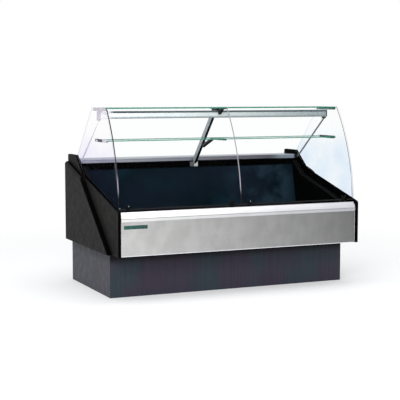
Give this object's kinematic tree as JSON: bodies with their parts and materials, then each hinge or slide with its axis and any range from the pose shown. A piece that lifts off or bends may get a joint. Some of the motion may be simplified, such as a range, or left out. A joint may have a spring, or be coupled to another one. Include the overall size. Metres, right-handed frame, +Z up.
{
  "type": "refrigerated deli case",
  "caption": "Serve-over refrigerated deli case: curved tilting front glass, glass ends and shelf, insulated tub with decks, fan-cooled coil, condensing unit in the plinth, rear worktop.",
  "frame": {"origin": "on the floor, under the middle of the whole case", "axes": "+X along the counter to the customer's right, +Y towards the server's side, +Z up"},
  "size_m": [1.995, 1.13, 1.34],
  "materials": {
    "steel_panel": "brushed stainless sheet, satin",
    "end_panel": "charcoal moulded shell with a fine grain",
    "plinth": "slate grey powder coat",
    "bumper": "bright anodised extrusion",
    "cap_black": "black moulded cap",
    "badge": "dark green blank plate",
    "curved_glass": "clear toughened glass, polished edge",
    "end_glass": "clear toughened glass, polished edge",
    "shelf_glass": "clear glass with a green edge",
    "liner": "dark blue-black coated sheet",
    "insulation": "foamed shell with a dark skin",
    "deck": "dark coated steel tray",
    "grille_black": "black moulded grille",
    "rail": "satin anodised extrusion",
    "canopy": "satin anodised extrusion",
    "cap_grey": "dark grey moulded cap",
    "diffuser": "opal diffuser strip",
    "lamp": "white coated tube",
    "strut": "satin anodised bar",
    "bracket": "dark grey coated bracket",
    "fitting": "polished fitting",
    "hinge": "satin stainless hinge",
    "pin": "ground steel pin",
    "worktop": "brushed stainless sheet",
    "rear_panel": "dark grey powder coat",
    "controller": "black moulded housing",
    "key": "soft grey key",
    "rocker": "translucent green rocker",
    "frame_steel": "black painted tube",
    "foot": "black foot on a steel stem",
    "galvanised": "galvanised sheet with a spangle",
    "coil": "bare fins",
    "fan": "black moulded blades",
    "motor": "grey enamelled can",
    "compressor": "black enamelled steel can",
    "copper": "bare copper tube",
    "tray_plastic": "grey moulded tray",
    "pipe_plastic": "grey plastic pipe",
    "gland": "black nylon gland"
  },
  "bodies": {
    "case": {"air_discharge_grille": "grille_black", "air_duct_panel": "liner", "badge_plate": "badge", "base_frame": "frame_steel", "bumper_end_caps": "cap_black", "bumper_rail": "bumper", "cable_gland": "gland", "canopy": "canopy", "canopy_end_caps": "cap_grey", "centre_strut": "strut", "compressor": "compressor", "compressor_tray": "galvanised", "condensate_tray": "tray_plastic", "condenser_coil": "coil", "condenser_shroud": "galvanised", "controller": "controller", "drain_pipe": "pipe_plastic", "end_glass_left": "end_glass", "end_glass_right": "end_glass", "end_panel_left": "end_panel", "end_panel_right": "end_panel", "end_struts": "strut", "evaporator_coil": "coil", "evaporator_fan_plate": "galvanised", "fan_motors": "motor", "front_panel": "steel_panel", "glass_hinge_bases": "hinge", "glass_hinge_pins": "pin", "glass_supports": "bracket", "lamp_diffuser": "diffuser", "lamp_tube": "lamp", "levelling_feet": "foot", "plinth_front": "plinth", "plinth_rear_grille": "plinth", "plinth_sides": "plinth", "rear_panel": "rear_panel", "rear_rail": "rail", "rear_worktop": "worktop", "refrigerant_lines": "copper", "return_air_grille": "grille_black", "shelf_glass": "shelf_glass", "strut_fittings": "fitting", "switch_frame": "controller", "top_glass": "shelf_glass", "tub_liner": "liner", "tub_shell": "insulation"},
    "front_glass_left": {"front_glass_left": "curved_glass", "glass_hinge_clamps_left": "hinge"},
    "front_glass_right": {"front_glass_right": "curved_glass", "glass_hinge_clamps_right": "hinge"},
    "evaporator_fan_left": {"evaporator_fan_left": "fan"},
    "evaporator_fan_centre": {"evaporator_fan_centre": "fan"},
    "evaporator_fan_right": {"evaporator_fan_right": "fan"},
    "condenser_fan": {"condenser_fan": "fan"},
    "deck_pan_left": {"deck_pan_left": "deck"},
    "deck_pan_centre": {"deck_pan_centre": "deck"},
    "deck_pan_right": {"deck_pan_right": "deck"},
    "switch_rocker": {"switch_rocker": "rocker"},
    "controller_key_down": {"controller_key_down": "key"},
    "controller_key_up": {"controller_key_up": "key"}
  },
  "joints": [
    {"name": "front_glass_left_tilt", "type": "hinge", "parent": "case", "child": "front_glass_left", "pos_m": [0, -0.516, 0.632], "axis": [1, 0, 0], "range_deg": [0, 55]},
    {"name": "front_glass_right_tilt", "type": "hinge", "parent": "case", "child": "front_glass_right", "pos_m": [0, -0.516, 0.632], "axis": [1, 0, 0], "range_deg": [0, 55]},
    {"name": "evaporator_fan_left_spin", "type": "hinge", "parent": "case", "child": "evaporator_fan_left", "pos_m": [-0.56, -0.188, 0.456], "axis": [0, 1, 0], "continuous": true},
    {"name": "evaporator_fan_centre_spin", "type": "hinge", "parent": "case", "child": "evaporator_fan_centre", "pos_m": [0, -0.188, 0.456], "axis": [0, 1, 0], "continuous": true},
    {"name": "evaporator_fan_right_spin", "type": "hinge", "parent": "case", "child": "evaporator_fan_right", "pos_m": [0.56, -0.188, 0.456], "axis": [0, 1, 0], "continuous": true},
    {"name": "condenser_fan_spin", "type": "hinge", "parent": "case", "child": "condenser_fan", "pos_m": [-0.24, 0.367, 0.1525], "axis": [0, 1, 0], "continuous": true},
    {"name": "deck_pan_left_lift", "type": "slide", "parent": "case", "child": "deck_pan_left", "axis": [0, 0, 1], "range_m": [0, 0.2]},
    {"name": "deck_pan_centre_lift", "type": "slide", "parent": "case", "child": "deck_pan_centre", "axis": [0, 0, 1], "range_m": [0, 0.2]},
    {"name": "deck_pan_right_lift", "type": "slide", "parent": "case", "child": "deck_pan_right", "axis": [0, 0, 1], "range_m": [0, 0.2]},
    {"name": "switch_rock", "type": "hinge", "parent": "case", "child": "switch_rocker", "pos_m": [0.64, 0.547, 0.85], "axis": [1, 0, 0], "range_deg": [-20, 0]},
    {"name": "controller_key_down_press", "type": "slide", "parent": "case", "child": "controller_key_down", "axis": [0, -1, 0], "range_m": [0, 0.0012], "stiffness_N_per_m": 400},
    {"name": "controller_key_up_press", "type": "slide", "parent": "case", "child": "controller_key_up", "axis": [0, -1, 0], "range_m": [0, 0.0012], "stiffness_N_per_m": 400}
  ]
}
